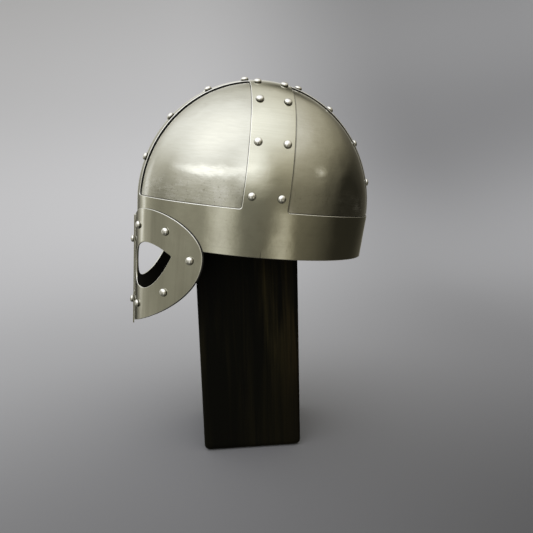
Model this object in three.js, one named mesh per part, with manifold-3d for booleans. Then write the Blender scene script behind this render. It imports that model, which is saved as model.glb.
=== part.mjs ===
// A riveted iron spectacle helmet of the early Norse kind, standing on a square wooden post.
// Units are millimetres, +Z is up, the nose points along -Y and the wearer's left is +X.
// The origin is the middle of the post's foot. The helmet is modelled upright about the middle of its rim,
// then tipped back and turned a little on the post.
import * as THREE from "three";
import { mergeVertices } from "three/addons/utils/BufferGeometryUtils.js";
import Module from "manifold-3d";

const wasm = await Module();
wasm.setup();

const degrees = THREE.MathUtils.degToRad;

// Helmet: outer half length, half width and heights, measured on the face of the bands.
const HALF_LENGTH = 118;
const HALF_WIDTH = 96.8;
const BROW_HEIGHT = 41.5;
const DOME_RISE = 122.2;
const RIM_SHRINK = 0.0175; // share by which the plan is smaller at the rim than at the top of the brow band

// Sheet metal: every layer is one sheet thick, with a hair of air between layers.
const SHEET = 1.2;
const GAP = 0.3;
const FRAME_FACE = 0;
const PLATE_FACE = FRAME_FACE - SHEET - GAP;
const GUARD_FACE = FRAME_FACE + GAP + SHEET;
const STRIP_FACE = GUARD_FACE + GAP + SHEET;

// Bands over the dome.
const BAND_WIDTH = 40.6;
const BAND_FILLET = 4;
const SIDE_BAND_AT_BROW = -6.3; // place of the side band's middle along Y
const SIDE_BAND_AT_CROWN = 0.5;
const PLATE_LAP = 12; // how far a dome plate runs in under a band
const PLATE_TUCK = 14; // how far it runs down behind the brow band

// Spectacle guard: lengths along the brow from its middle, and heights above the rim.
const GUARD_TOP = 30.6;
const GUARD_DIP = 21.3;
const GUARD_BOTTOM = -88;
const GUARD_REACH = 111.3;
const EYE_TOP = -0.7;
const EYE_BOTTOM = -46.2;
const EYE_INNER = 15.5;
const STRIP_WIDTH = 14;
const STRIP_TOP = 20.5;
const STRIP_BOTTOM = -90;

// Rivets.
const HEAD_RADIUS = 3.9;
const HEAD_HEIGHT = 3.2;
const SHANK_RADIUS = 1.8;
const TAIL_RADIUS = 2.9;
const TAIL_HEIGHT = 1;
const HOLE_RADIUS = 2.4;
const DRILL_LENGTH = 16;
const TAIL_AIR = 1.1; // the tails stay clear of the flat facets of the curved sheets
const RIVET_ROW = 13; // distance of a rivet row from the middle of its band
const FRONT_KEEL_ANGLES = [17.5, 39, 60.5, 78.5];
const REAR_KEEL_ANGLES = [16, 36, 56.5, 75];
const SIDE_ANGLES = [5.4, 28.8, 53.3, 73.5];
const GUARD_RIVETS = [[26.5, 13], [71.8, 13], [99, -9.5], [71.8, -43.4], [26, -64.4]];
const STRIP_RIVETS = [-4.3, -66.3];

// How the helmet sits on the post.
const POST_SIDE = 100;
const POST_ROUND = 4;
const POST_TOP = 345;
const RIM_PLACE = [5.3, 6, 209.5];
const TIP_BACK = 7.5;
const TURN = 5.9;

// How far a cutter overruns what it cuts, and a distance that lies beyond the helmet on every side.
const OVERRUN = 5;
const BEYOND = 150;

// Facets round the plan, from rim to crown, round a rivet and its hole, and steps in each stretch of an outline.
const PLAN_FACETS = 48;
const DOME_FACETS = 10;
const RIVET_FACETS = 8;
const HOLE_FACETS = 6;
const FILLET_STEPS = 3;
const GUARD_STEPS = 7;
const EYE_STEPS = 6;

const iron = (color, roughness) => new THREE.MeshStandardMaterial({ color, roughness, metalness: 1 });
const bandIron = iron(0x8f8d7c, 0.32);
const plateIron = iron(0x9b9a8a, 0.28);
const guardIron = iron(0x9a9484, 0.38);
const rivetIron = iron(0xc4c3bc, 0.3);
const stainedWood = new THREE.MeshStandardMaterial({ color: 0x120c08, roughness: 0.7, metalness: 0 });

// ---- solids ----

function solidOf(geometry) {
  const bare = geometry.clone();
  bare.deleteAttribute("normal");
  bare.deleteAttribute("uv");
  const merged = mergeVertices(bare, 1e-4);
  const corners = merged.index.array;
  const triVerts = [];
  for (let i = 0; i < corners.length; i += 3) {
    const [a, b, c] = corners.slice(i, i + 3);
    if (a !== b && b !== c && c !== a) triVerts.push(a, b, c);
  }
  return new wasm.Manifold(
    new wasm.Mesh({
      numProp: 3,
      vertProperties: merged.attributes.position.array,
      triVerts: new Uint32Array(triVerts),
    }),
  );
}

function geometryOf(solid) {
  const mesh = solid.getMesh();
  const geometry = new THREE.BufferGeometry();
  geometry.setAttribute("position", new THREE.BufferAttribute(mesh.vertProperties, 3));
  geometry.setIndex(new THREE.BufferAttribute(mesh.triVerts, 1));
  geometry.computeVertexNormals();
  return geometry;
}

const joined = (solids) => solids.reduce((whole, piece) => whole.add(piece));
const without = (solid, cutters) => cutters.reduce((rest, cutter) => rest.subtract(cutter), solid);

// ---- the helmet's surface ----

// Share of the brow's plan size at a height above the rim: a cone below the top of the brow band.
const planShare = (z) => 1 - (RIM_SHRINK * (BROW_HEIGHT - Math.min(z, BROW_HEIGHT))) / BROW_HEIGHT;

// Everything inside the helmet's surface moved out by offset, from the height bottom up.
function insideOf(offset, bottom) {
  const reach = HALF_LENGTH + offset;
  const profile = [
    new THREE.Vector2(0, bottom),
    new THREE.Vector2(HALF_LENGTH * planShare(bottom) + offset, bottom),
  ];
  for (let i = 0; i < DOME_FACETS; i++) {
    const rise = degrees((90 * i) / DOME_FACETS);
    profile.push(
      new THREE.Vector2(reach * Math.cos(rise), BROW_HEIGHT + (DOME_RISE + offset) * Math.sin(rise)),
    );
  }
  profile.push(new THREE.Vector2(0, BROW_HEIGHT + DOME_RISE + offset));
  return new THREE.LatheGeometry(profile, PLAN_FACETS)
    .rotateX(Math.PI / 2)
    .scale((HALF_WIDTH + offset) / reach, 1, 1);
}

function shell(face, bottom) {
  return solidOf(insideOf(face, bottom)).subtract(solidOf(insideOf(face - SHEET, bottom - OVERRUN)));
}

const browCurve = new THREE.EllipseCurve(0, 0, HALF_WIDTH, HALF_LENGTH, -Math.PI / 2, Math.PI / 2);
const browLength = browCurve.getLength();

// Point and outward direction on the brow's wall: along is the length from the nose, positive to the left.
function onWall(along, z, offset) {
  const plan = browCurve.getPointAt(Math.abs(along) / browLength);
  const side = along < 0 ? -1 : 1;
  const out = new THREE.Vector3(
    (side * plan.x) / HALF_WIDTH ** 2,
    plan.y / HALF_LENGTH ** 2,
    0,
  ).normalize();
  const point = new THREE.Vector3(side * plan.x * planShare(z), plan.y * planShare(z), z);
  return { point: point.addScaledVector(out, offset), out };
}

function onDome(x, y, rise) {
  const out = new THREE.Vector3(x / HALF_WIDTH ** 2, y / HALF_LENGTH ** 2, rise / DOME_RISE ** 2);
  return { point: new THREE.Vector3(x, y, BROW_HEIGHT + rise), out: out.normalize() };
}

const sideBandMiddle = (z) =>
  SIDE_BAND_AT_BROW + ((SIDE_BAND_AT_CROWN - SIDE_BAND_AT_BROW) * (z - BROW_HEIGHT)) / DOME_RISE;

// A point of the keel band's row at x, by its angle above the brow in the length's section.
function onKeel(x, angle, ahead) {
  const share = Math.sqrt(1 - (x / HALF_WIDTH) ** 2);
  const y = (ahead ? -1 : 1) * HALF_LENGTH * share * Math.cos(degrees(angle));
  return onDome(x, y, DOME_RISE * share * Math.sin(degrees(angle)));
}

// A point of the side band's row, by its distance ahead of or behind the band's middle.
function onSideBand(side, fromMiddle, angle) {
  const height = DOME_RISE * Math.sin(degrees(angle));
  const y = sideBandMiddle(BROW_HEIGHT + height) + fromMiddle;
  const share = Math.sqrt(1 - (y / HALF_LENGTH) ** 2);
  return onDome(side * HALF_WIDTH * share * Math.cos(degrees(angle)), y, height * share);
}

// ---- cutters ----

const ABOVE = BROW_HEIGHT + DOME_RISE + OVERRUN;

// Outline of a band standing on the brow band, with a small round where they meet.
function bandOutline(middle) {
  const half = BAND_WIDTH / 2;
  const outline = new THREE.Shape();
  outline.moveTo(-half - BAND_FILLET, BROW_HEIGHT - OVERRUN);
  outline.lineTo(half + BAND_FILLET, BROW_HEIGHT - OVERRUN);
  outline.absarc(half + BAND_FILLET, BROW_HEIGHT + BAND_FILLET, BAND_FILLET, -Math.PI / 2, -Math.PI, true);
  outline.lineTo(half, ABOVE);
  outline.lineTo(-half, ABOVE);
  outline.absarc(-half - BAND_FILLET, BROW_HEIGHT + BAND_FILLET, BAND_FILLET, 0, -Math.PI / 2, true);
  const points = outline.getPoints(FILLET_STEPS).map((p) => new THREE.Vector2(p.x + middle(p.y), p.y));
  return new THREE.Shape(points);
}

// An outline of X and Z pushed along Y.
function throughY(outline, from, to) {
  return solidOf(
    new THREE.ExtrudeGeometry(outline, { depth: to - from, bevelEnabled: false })
      .rotateX(Math.PI / 2)
      .translate(0, to, 0),
  );
}

// An outline of Y and Z pushed along X.
function throughX(outline, from, to) {
  return solidOf(
    new THREE.ExtrudeGeometry(outline, { depth: to - from, bevelEnabled: false })
      .rotateX(Math.PI / 2)
      .rotateZ(Math.PI / 2)
      .translate(from, 0, 0),
  );
}

// A cutter through the brow's wall: an outline of lengths along the brow and heights, turning left from below.
function throughWall(outline) {
  const count = outline.length;
  const positions = [];
  for (const offset of [-OVERRUN, OVERRUN]) {
    for (const p of outline) positions.push(...onWall(p.x, p.y, offset).point.toArray());
  }
  const index = [];
  for (const [a, b, c] of THREE.ShapeUtils.triangulateShape(outline, [])) {
    index.push(a + count, b + count, c + count, a, c, b);
  }
  for (let i = 0; i < count; i++) {
    const j = (i + 1) % count;
    index.push(i, j, j + count, i, j + count, i + count);
  }
  const geometry = new THREE.BufferGeometry();
  geometry.setAttribute("position", new THREE.Float32BufferAttribute(positions, 3));
  geometry.setIndex(index);
  return solidOf(geometry);
}

const mirrored = (outline) => outline.map((p) => new THREE.Vector2(-p.x, p.y)).reverse();

// ---- sheet pieces ----

const rivetHole = ({ point, out }) => {
  const drill = new THREE.CylinderGeometry(HOLE_RADIUS, HOLE_RADIUS, DRILL_LENGTH, HOLE_FACETS);
  drill.applyQuaternion(new THREE.Quaternion().setFromUnitVectors(new THREE.Vector3(0, 1, 0), out));
  return solidOf(drill.translate(...point.toArray()));
};

function bands(holes) {
  const brow = new THREE.BoxGeometry(400, 400, BROW_HEIGHT + 5).translate(0, 0, (BROW_HEIGHT - OVERRUN) / 2);
  const keel = throughY(bandOutline(() => 0), -BEYOND, BEYOND);
  const side = throughX(bandOutline(sideBandMiddle), -BEYOND, BEYOND);
  const kept = joined([solidOf(brow), keel, side]);
  return without(shell(FRAME_FACE, 0).intersect(kept), holes);
}

// One of the four dome plates: side is 1 on the left, end is 1 at the rear.
function domePlate(side, end, holes) {
  const inset = BAND_WIDTH / 2 - PLATE_LAP;
  const low = BROW_HEIGHT - PLATE_TUCK;
  const edge = (z) => new THREE.Vector2(sideBandMiddle(z) + end * inset, z);
  const far = (z) => new THREE.Vector2(end * BEYOND, z);
  const quarter = new THREE.Shape([edge(low), far(low), far(ABOVE), edge(ABOVE)]);
  const [from, to] = side > 0 ? [inset, BEYOND] : [-BEYOND, -inset];
  return without(shell(PLATE_FACE, 0).intersect(throughX(quarter, from, to)), holes);
}

// Left half of the guard's outline, from below the nose up round the temple to the dip above the nose.
function guardOutline() {
  const temple = -7.5; // height of the widest place
  const peak = 47.7; // where the top edge is highest
  const overlap = 1; // past the middle, so that the two halves join
  const outline = new THREE.Shape();
  outline.moveTo(-overlap, GUARD_BOTTOM);
  outline.lineTo(0, GUARD_BOTTOM);
  outline.bezierCurveTo(50.8, -77.1, GUARD_REACH, -48.3, GUARD_REACH, temple);
  outline.bezierCurveTo(GUARD_REACH, 11.3, 86.1, GUARD_TOP, peak, GUARD_TOP);
  outline.bezierCurveTo(18, GUARD_TOP, 17, GUARD_DIP, 0, GUARD_DIP);
  outline.lineTo(-overlap, GUARD_DIP);
  return outline.getPoints(GUARD_STEPS);
}

// Left eye hole: round towards the nose, drawn out to a corner at the temple.
function eyeOutline() {
  const outline = new THREE.Shape();
  outline.moveTo(33, EYE_BOTTOM);
  outline.bezierCurveTo(52.1, EYE_BOTTOM, 67.7, -31.9, 79.4, -9.2);
  outline.lineTo(79, -8.2);
  outline.bezierCurveTo(68, -3.2, 59.2, EYE_TOP, 47.5, EYE_TOP);
  outline.bezierCurveTo(33, EYE_TOP, EYE_INNER, -8, EYE_INNER, -25);
  outline.bezierCurveTo(EYE_INNER, -39, 20, EYE_BOTTOM, 33, EYE_BOTTOM);
  const points = outline.getPoints(EYE_STEPS);
  points.pop();
  return points;
}

function spectacleGuard(holes) {
  const left = guardOutline();
  const eye = eyeOutline();
  const kept = throughWall(left).add(throughWall(mirrored(left)));
  const sheet = shell(GUARD_FACE, GUARD_BOTTOM - OVERRUN).intersect(kept);
  return without(sheet, [throughWall(eye), throughWall(mirrored(eye)), ...holes]);
}

function noseStrip(holes) {
  const length = STRIP_TOP - STRIP_BOTTOM;
  const kept = new THREE.BoxGeometry(STRIP_WIDTH, HALF_LENGTH, length);
  kept.translate(0, -HALF_LENGTH, (STRIP_TOP + STRIP_BOTTOM) / 2);
  return without(shell(STRIP_FACE, STRIP_BOTTOM - OVERRUN).intersect(solidOf(kept)), holes);
}

// ---- rivets ----

// A round head on the face, a shank through the sheets and a blunt tail inside; grip is the shank's bare length.
function rivetGeometry(grip) {
  const profile = [
    new THREE.Vector2(0, -grip - TAIL_HEIGHT),
    new THREE.Vector2(TAIL_RADIUS, -grip),
    new THREE.Vector2(SHANK_RADIUS, -grip),
    new THREE.Vector2(SHANK_RADIUS, 0),
  ];
  for (const angle of [0, Math.PI / 4]) {
    profile.push(new THREE.Vector2(HEAD_RADIUS * Math.cos(angle), HEAD_HEIGHT * Math.sin(angle)));
  }
  profile.push(new THREE.Vector2(0, HEAD_HEIGHT));
  return new THREE.LatheGeometry(profile, RIVET_FACETS);
}

// The rivets as places: where, which way, which face the head sits on and which face the tail meets.
const rivets = [];
for (const [side, word] of [[1, "left"], [-1, "right"]]) {
  for (const [ahead, end, angles] of [[true, "front", FRONT_KEEL_ANGLES], [false, "rear", REAR_KEEL_ANGLES]]) {
    angles.forEach((angle, i) =>
      rivets.push({
        name: `keel_rivet_${word}_${end}_${i + 1}`,
        place: onKeel(side * RIVET_ROW, angle, ahead),
        top: FRAME_FACE,
        under: PLATE_FACE - SHEET,
        plate: `${end}_${word}`,
      }),
    );
  }
  for (const [fromMiddle, end] of [[-RIVET_ROW, "front"], [RIVET_ROW, "rear"]]) {
    SIDE_ANGLES.forEach((angle, i) =>
      rivets.push({
        name: `side_rivet_${word}_${end}_${i + 1}`,
        place: onSideBand(side, fromMiddle, angle),
        top: FRAME_FACE,
        under: PLATE_FACE - SHEET,
        plate: `${end}_${word}`,
      }),
    );
  }
  GUARD_RIVETS.forEach(([along, z], i) =>
    rivets.push({
      name: `guard_rivet_${word}_${i + 1}`,
      place: onWall(side * along, z, 0),
      top: GUARD_FACE,
      under: z > 0 ? FRAME_FACE - SHEET : GUARD_FACE - SHEET,
      guard: true,
    }),
  );
}
STRIP_RIVETS.forEach((z, i) =>
  rivets.push({
    name: `nose_rivet_${i + 1}`,
    place: onWall(0, z, 0),
    top: STRIP_FACE,
    under: GUARD_FACE - SHEET,
    guard: true,
    strip: true,
  }),
);

const holesWhere = (test) => rivets.filter(test).map((rivet) => rivetHole(rivet.place));

// ---- the post ----

// The space inside the helmet with room for the rivet tails, in the post's frame.
function seatUnder(helmet) {
  const room = PLATE_FACE - SHEET - TAIL_AIR - TAIL_HEIGHT - GAP;
  helmet.updateMatrixWorld(true);
  return solidOf(insideOf(room, -POST_TOP).applyMatrix4(helmet.matrixWorld));
}

// A square post with eased edges, its top corners shaped to the dome that rests on them.
function displayPost(helmet) {
  const half = POST_SIDE / 2 - POST_ROUND;
  const section = new THREE.Shape();
  section.moveTo(-half, -POST_SIDE / 2);
  [[half, -half, -90], [half, half, 0], [-half, half, 90], [-half, -half, 180]].forEach(([x, y, from]) =>
    section.absarc(x, y, POST_ROUND, degrees(from), degrees(from + 90), false),
  );
  const eased = POST_ROUND - 1;
  const body = new THREE.ExtrudeGeometry(section, {
    depth: POST_TOP - 2 * eased,
    curveSegments: 3,
    bevelSize: eased,
    bevelOffset: -eased,
    bevelThickness: eased,
    bevelSegments: 2,
  }).translate(0, 0, eased);
  return solidOf(body).intersect(seatUnder(helmet));
}

// ---- assembly ----

const stand = new THREE.Group();
const helmet = new THREE.Group();
helmet.position.set(...RIM_PLACE);
helmet.rotation.set(degrees(-TIP_BACK), 0, degrees(TURN), "ZXY");
stand.add(helmet);

function addPiece(parent, name, solid, material) {
  const mesh = new THREE.Mesh(geometryOf(solid), material);
  mesh.name = name;
  parent.add(mesh);
}

addPiece(helmet, "brow_and_cross_bands", bands(holesWhere((r) => r.under < 0)), bandIron);
for (const [end, word] of [[-1, "front"], [1, "rear"]]) {
  for (const [side, hand] of [[1, "left"], [-1, "right"]]) {
    const plate = domePlate(side, end, holesWhere((r) => r.plate === `${word}_${hand}`));
    addPiece(helmet, `dome_plate_${word}_${hand}`, plate, plateIron);
  }
}
addPiece(helmet, "spectacle_guard", spectacleGuard(holesWhere((r) => r.guard)), guardIron);
addPiece(helmet, "nose_strip", noseStrip(holesWhere((r) => r.strip)), guardIron);

for (const { name, place, top, under } of rivets) {
  const mesh = new THREE.Mesh(rivetGeometry(top + GAP - under + TAIL_AIR), rivetIron);
  mesh.name = name;
  mesh.position.copy(place.point).addScaledVector(place.out, top + GAP);
  mesh.quaternion.setFromUnitVectors(new THREE.Vector3(0, 1, 0), place.out);
  helmet.add(mesh);
}

addPiece(stand, "display_post", displayPost(helmet), stainedWood);

export default stand;
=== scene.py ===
"""A riveted iron spectacle helmet on a square wooden post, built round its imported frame.

Everything is in metres, +Z up. The helmet has an upright frame of its own, with its origin in the middle of
the rim, the nose along -Y and the wearer's left along +X. HelmetSizes says how it is tipped and turned on the
post.
"""

import math
from typing import NamedTuple

import bmesh
import bpy
import numpy as np
from bpy.props import FloatProperty, FloatVectorProperty, PointerProperty
from mathutils import Matrix, Vector


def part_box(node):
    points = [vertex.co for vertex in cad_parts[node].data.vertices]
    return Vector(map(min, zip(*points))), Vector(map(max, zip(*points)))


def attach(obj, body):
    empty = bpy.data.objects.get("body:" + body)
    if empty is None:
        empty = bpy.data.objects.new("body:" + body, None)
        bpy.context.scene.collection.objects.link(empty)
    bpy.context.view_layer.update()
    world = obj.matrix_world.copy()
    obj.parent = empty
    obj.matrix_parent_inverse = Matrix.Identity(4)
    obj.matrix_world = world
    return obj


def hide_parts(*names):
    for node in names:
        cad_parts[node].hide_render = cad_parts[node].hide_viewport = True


bl_info = {
    "name": "Spectacle Helmet",
    "version": (1, 0, 0),
    "blender": (4, 5, 0),
    "location": "3D View > Sidebar > Helmet",
    "description": "Builds a riveted iron helmet on a wooden post",
    "category": "Add Mesh",
}

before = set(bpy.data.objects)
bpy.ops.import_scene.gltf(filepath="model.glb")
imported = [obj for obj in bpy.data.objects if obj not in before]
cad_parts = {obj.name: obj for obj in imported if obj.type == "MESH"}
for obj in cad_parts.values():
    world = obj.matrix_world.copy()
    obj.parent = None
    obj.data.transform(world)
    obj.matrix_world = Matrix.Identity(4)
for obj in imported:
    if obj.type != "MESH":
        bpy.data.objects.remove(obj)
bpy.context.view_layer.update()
POST_LOW, POST_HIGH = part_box("display_post")


def property_maker(kind, worked_out=None, **settings):
    """A function that makes one kind of property from a name, a description and a default."""

    def make(name, description, default):
        default = worked_out(default) if worked_out else default
        return kind(name=name, description=description, default=default, **settings)

    return make


length_property = property_maker(FloatProperty, unit="LENGTH", precision=4)
angle_property = property_maker(FloatProperty, math.radians, subtype="ANGLE")
amount_property = property_maker(FloatProperty, min=0)
colour_property = property_maker(FloatVectorProperty, subtype="COLOR", size=3, min=0, max=1)
place_property = property_maker(FloatVectorProperty, subtype="TRANSLATION", unit="LENGTH")


# ---- what a user would change ----


class HelmetSizes(bpy.types.PropertyGroup):
    """Sizes of the helmet, measured on the face of its bands, and how it sits on the post."""

    half_length: length_property("Half length", "Half the helmet's length over the brow band", 0.118)
    half_width: length_property("Half width", "Half the helmet's width over the brow band", 0.0968)
    brow_height: length_property("Brow height", "Height of the brow band", 0.0415)
    dome_rise: length_property("Dome rise", "Height of the dome over the brow band", 0.1222)
    rim_shrink: amount_property("Rim shrink", "Share by which the rim is smaller than the brow's top", 0.0175)
    band_width: length_property("Band width", "Width of the two bands over the dome", 0.0406)
    band_corner: length_property("Band corner", "Round where a band meets the brow band", 0.0022)
    crossing_corner: length_property("Crossing corner", "Round where the two bands cross", 0.0015)
    side_at_brow: length_property("Side band at brow", "Place along Y of its middle", -0.0063)
    side_at_crown: length_property("Side band at crown", "Place along Y of its middle", 0.0005)
    sheet: length_property("Sheet", "Thickness of every sheet", 0.0012)
    layer_gap: length_property("Layer gap", "Air between two layers of sheet", 0.0003)
    plate_lap: length_property("Plate lap", "How far a dome plate runs in under a band", 0.012)
    plate_tuck: length_property("Plate tuck", "How far a plate runs down behind the brow band", 0.014)
    rim_place: place_property("Rim place", "Where the middle of the rim is", (0.0053, 0.006, 0.2095))
    tip_back: angle_property("Tip back", "How far the helmet leans back on the post", 7.5)
    turn: angle_property("Turn", "How far the helmet is turned on the post", 5.9)


class GuardSizes(bpy.types.PropertyGroup):
    """Sizes of the spectacle guard: lengths along the brow from its middle, and heights above the rim."""

    top: length_property("Top", "Height of the guard over each eye", 0.0306)
    dip: length_property("Dip", "Height of the guard over the nose", 0.0213)
    bottom: length_property("Bottom", "Height of the guard's point", -0.088)
    reach: length_property("Reach", "Length along the brow to the temple", 0.1113)
    eye_top: length_property("Eye top", "Height of the top of an eye hole", -0.0007)
    eye_bottom: length_property("Eye bottom", "Height of the bottom of an eye hole", -0.0462)
    eye_inner: length_property("Eye inner end", "Length from the middle to an eye hole", 0.0155)
    strip_width: length_property("Strip width", "Width of the nose strip", 0.014)
    strip_top: length_property("Strip top", "Height of the nose strip's upper end", 0.0205)
    strip_bottom: length_property("Strip bottom", "Height of the nose strip's lower end", -0.09)


class RivetSizes(bpy.types.PropertyGroup):
    """Sizes of a rivet."""

    head_radius: length_property("Head radius", "Radius of the round head", 0.0039)
    head_height: length_property("Head height", "Height of the round head", 0.0032)
    shank_radius: length_property("Shank radius", "Radius of the shank", 0.0018)
    tail_radius: length_property("Tail radius", "Radius of the tail inside", 0.0028)
    tail_height: length_property("Tail height", "Height of the tail inside", 0.001)


class FinishColours(bpy.types.PropertyGroup):
    """Colours of the metal, the black inside and the wood."""

    band_iron: colour_property("Bands", "Satin iron of the bands", (0.56, 0.55, 0.44))
    plate_iron: colour_property("Dome plates", "Smoother iron of the dome plates", (0.52, 0.513, 0.43))
    guard_iron: colour_property("Guard", "Brushed iron of the guard", (0.57, 0.56, 0.455))
    edge_iron: colour_property("Edges", "Bare metal along the edges", (0.84, 0.83, 0.76))
    rivet_iron: colour_property("Rivets", "Bright iron of the rivets", (0.80, 0.79, 0.73))
    tarnish: colour_property("Tarnish", "Darker, browner iron in patches", (0.27, 0.25, 0.19))
    black_inside: colour_property("Inside", "Black paint inside the helmet", (0.010, 0.010, 0.010))
    dark_wood: colour_property("Dark wood", "Stained wood between the grain lines", (0.0022, 0.0021, 0.0010))
    grain: colour_property("Grain", "Lighter grain lines of the wood", (0.030, 0.024, 0.0085))
    warm_grain: colour_property("Warm grain", "Grain lines where the wood is warmer", (0.042, 0.024, 0.008))


class StageSettings(bpy.types.PropertyGroup):
    """The sweep behind the helmet, the studio's glow and the camera."""

    sweep_pale: colour_property("Sweep", "Colour of the sweep at its palest", (0.62, 0.62, 0.62))
    sweep_deep: colour_property("Sweep shade", "Colour of the sweep at its deepest", (0.038, 0.038, 0.038))
    floor_radius: length_property("Floor radius", "Radius of the flat floor", 0.7)
    sweep_round: length_property("Sweep round", "Radius of the bend up from the floor", 1.7)
    sweep_height: length_property("Sweep height", "Height of the sweep's top edge", 7.0)
    light_colour: colour_property("Light", "Colour of the soft panels", (0.93, 0.94, 1.0))
    room_colour: colour_property("Room", "Colour of the dim room round them", (0.95, 0.925, 0.80))
    corner_colour: colour_property("Room corner", "Colour of the dim room towards +Y", (0.97, 0.895, 0.69))
    light_strength: amount_property("Light strength", "Strength of all the studio's light", 2.3)
    room_light: amount_property("Room light", "Share of the light that comes from all sides", 0.06)
    ceiling_light: amount_property("Ceiling light", "Share of the light added overhead", 0.88)
    lens: amount_property("Lens", "Focal length in millimetres", 36.83)
    camera_place: place_property("Camera place", "Where the camera stands", (0.5713, -0.0207, 0.2952))
    camera_azimuth: angle_property("Camera azimuth", "Way it looks: 0 along +Y, 90 along -X", 85.64)
    camera_drop: angle_property("Camera drop", "How far it looks down", 11.08)
    camera_roll: angle_property("Camera roll", "How far it leans to its right", 1.52)


# ---- the helmet's surface ----


def dome_radii(sizes, offset=0.0):
    """Half width, half length and rise of the dome moved outwards by an offset."""
    return np.array([sizes.half_width, sizes.half_length, sizes.dome_rise]) + offset


def unit_from(longitude, latitude):
    """Unit vectors by longitude, from the nose to the left, and latitude above the top of the brow band."""
    flat = np.cos(latitude)
    return np.stack([flat * np.sin(longitude), -flat * np.cos(longitude), np.sin(latitude)], axis=-1)


def helmet_surface(sizes, unit, offset):
    """Points of the upright helmet for unit vectors, moved out by an offset along the surface's normal.

    Above the brow band a unit vector is stretched by the dome's radii. Below it, its latitude runs straight
    down a wall whose plan shrinks evenly towards the rim.
    """
    radii = dome_radii(sizes)
    below = unit[..., 2] < 0
    drop = np.where(below, np.arcsin(np.clip(unit[..., 2], -1, 1)) * sizes.dome_rise, 0)
    share = 1 + sizes.rim_shrink * drop / sizes.brow_height
    level = unit * np.where(below[..., None], [1, 1, 0], 1)
    level = level / np.linalg.norm(level, axis=-1, keepdims=True)
    points = level * radii
    points[..., :2] *= share[..., None]
    points[..., 2] += sizes.brow_height + drop
    normal = level / radii
    normal /= np.linalg.norm(normal, axis=-1, keepdims=True)
    return points + normal * np.asarray(offset)[..., None]


def wall_units(sizes, along, height):
    """Unit vectors of the wall for lengths along the brow from the nose and heights above the rim.

    The length along the brow's ellipse is added up over fine steps and read backwards to give the longitude.
    """
    steps = np.linspace(0, math.pi / 2, FINE_STEPS)
    run = np.hypot(sizes.half_width * np.cos(steps), sizes.half_length * np.sin(steps))
    lengths = np.concatenate([[0], np.cumsum((run[1:] + run[:-1]) / 2 * np.diff(steps))])
    longitude = np.sign(along) * np.interp(np.abs(along), lengths, steps)
    return unit_from(longitude, (height - sizes.brow_height) / sizes.dome_rise)


FINE_STEPS = 2001


def seat_matrix(sizes):
    """The upright helmet's place on the post: tipped back about X, then turned about Z."""
    tilt = Matrix.Rotation(sizes.turn, 4, "Z") @ Matrix.Rotation(-sizes.tip_back, 4, "X")
    return Matrix.Translation(sizes.rim_place) @ tilt


def seated(sizes, points):
    """Upright points carried to where the helmet sits."""
    matrix = np.array(seat_matrix(sizes))
    return points @ matrix[:3, :3].T + matrix[:3, 3]


def on_helmet(sizes, unit, offset, side=1):
    """Seated points for unit vectors, moved out by an offset, and mirrored in X where side is -1."""
    return seated(sizes, helmet_surface(sizes, unit, offset) * [side, 1, 1])


def side_band_middle(sizes, height):
    """Place along Y of the side band's middle, on a straight slant from brow to crown."""
    share = (height - sizes.brow_height) / sizes.dome_rise
    return sizes.side_at_brow + (sizes.side_at_crown - sizes.side_at_brow) * share


# ---- meshes ----


def grid_faces(rows, columns, wrap_rows=False, wrap_columns=False):
    """Corner numbers of the quads of a grid of points, each joined to the next row and column."""
    row = np.arange(rows if wrap_rows else rows - 1)[:, None]
    column = np.arange(columns if wrap_columns else columns - 1)[None, :]
    next_row, next_column = (row + 1) % rows, (column + 1) % columns
    corners = [
        row * columns + column,
        row * columns + next_column,
        next_row * columns + next_column,
        next_row * columns + column,
    ]
    return np.stack(np.broadcast_arrays(*corners), axis=-1).reshape(-1, 4)


def stacked(parts):
    """Several (points, faces, finish numbers) made one."""
    start, points, faces, finishes = 0, [], [], []
    for part_points, part_faces, part_finish in parts:
        points.append(part_points.reshape(-1, 3))
        faces.append(part_faces + start)
        finishes.append(part_finish)
        start += len(points[-1])
    return np.concatenate(points), np.concatenate(faces), np.concatenate(finishes)


def add_piece(name, solid, materials, nodes):
    """Makes a closed piece of (points, quads, finish numbers) that rides the frame and hides its CAD nodes.

    Quads that shrink to an edge at a pole are cleaned up when points that coincide are merged.
    """
    points, faces, finishes = solid
    mesh = bpy.data.meshes.new(name)
    mesh.from_pydata(points.reshape(-1, 3), [], faces)
    for material in materials:
        mesh.materials.append(material)
    mesh.polygons.foreach_set("material_index", finishes.astype(np.int32))
    work = bmesh.new()
    work.from_mesh(mesh)
    bmesh.ops.remove_doubles(work, verts=work.verts, dist=MERGE_DISTANCE)
    bmesh.ops.recalc_face_normals(work, faces=work.faces)
    work.to_mesh(mesh)
    work.free()
    mesh.shade_smooth()
    mesh.set_sharp_from_angle(angle=SHARP_ANGLE)
    piece = bpy.data.objects.new(name, mesh)
    bpy.context.scene.collection.objects.link(piece)
    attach(piece, "root")
    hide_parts(*nodes)


MERGE_DISTANCE = 2e-6
SHARP_ANGLE = math.radians(40)
FACE, UNDERSIDE, EDGE = 0, 1, 2  # finish numbers of a sheet


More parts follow.
